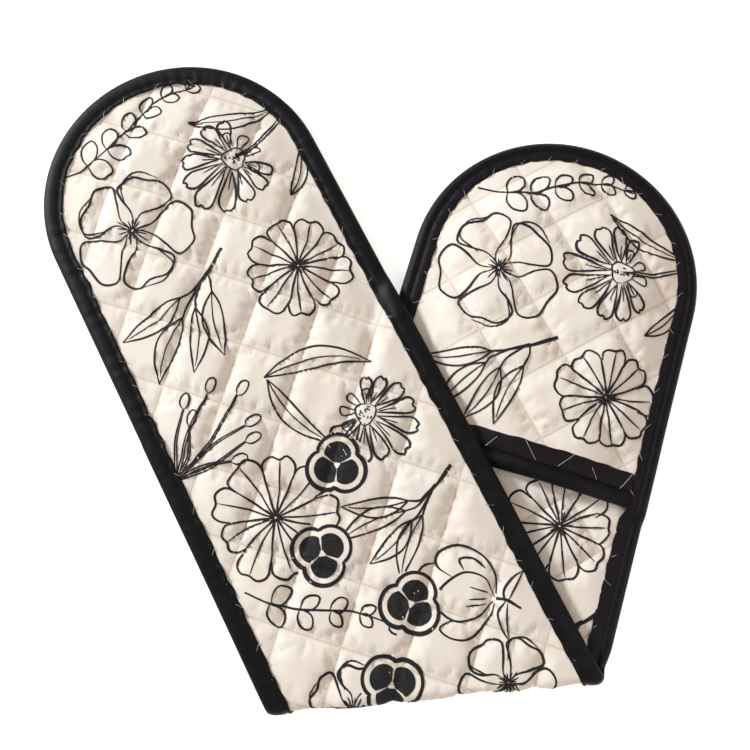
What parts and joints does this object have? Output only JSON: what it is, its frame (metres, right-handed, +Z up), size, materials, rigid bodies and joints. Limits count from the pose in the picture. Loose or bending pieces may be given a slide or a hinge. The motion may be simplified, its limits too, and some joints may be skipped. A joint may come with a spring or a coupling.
{
  "type": "double oven glove",
  "caption": "Quilted double oven glove: a long padded cloth band with a hand pocket at each rounded end, bound in black tape and folded on a slant into a V.",
  "frame": {"origin": "on the surface it lies on, under the middle of the folded glove", "axes": "+Z up from that surface, +Y from the fold towards the two hand pockets, +X from the upper arm's pocket to the lower arm's pocket"},
  "size_m": [0.413, 0.4012, 0.0178],
  "materials": {
    "printed_cloth": "matt woven cotton, printed with line-drawn flowers in the visual model",
    "lining_cloth": "matt woven cotton",
    "wadding": "soft fibre wadding",
    "tape": "matt black cotton tape"
  },
  "bodies": {
    "under_arm": {"lower_outer_cloth": "printed_cloth", "lower_wadding": "wadding", "lower_lining": "lining_cloth", "lower_pocket_lining": "lining_cloth", "lower_pocket_wadding": "wadding", "lower_pocket_cloth": "printed_cloth", "lower_edge_binding": "tape", "lower_mouth_binding": "tape", "fold_outer_cloth": "printed_cloth", "fold_wadding": "wadding", "fold_lining": "lining_cloth", "fold_binding_left": "tape", "fold_binding_right": "tape"},
    "over_arm": {"upper_outer_cloth": "printed_cloth", "upper_wadding": "wadding", "upper_lining": "lining_cloth", "upper_pocket_lining": "lining_cloth", "upper_pocket_wadding": "wadding", "upper_pocket_cloth": "printed_cloth", "upper_edge_binding": "tape", "upper_mouth_binding": "tape"}
  },
  "joints": [
    {"name": "centre_fold", "type": "hinge", "parent": "under_arm", "child": "over_arm", "pos_m": [0.03945, -0.18622, 0.0057], "axis": [0.9959, 0.0908, 0], "range_deg": [0, 170], "deforming": ["fold_outer_cloth", "fold_wadding", "fold_lining", "fold_binding_left", "fold_binding_right"]}
  ]
}
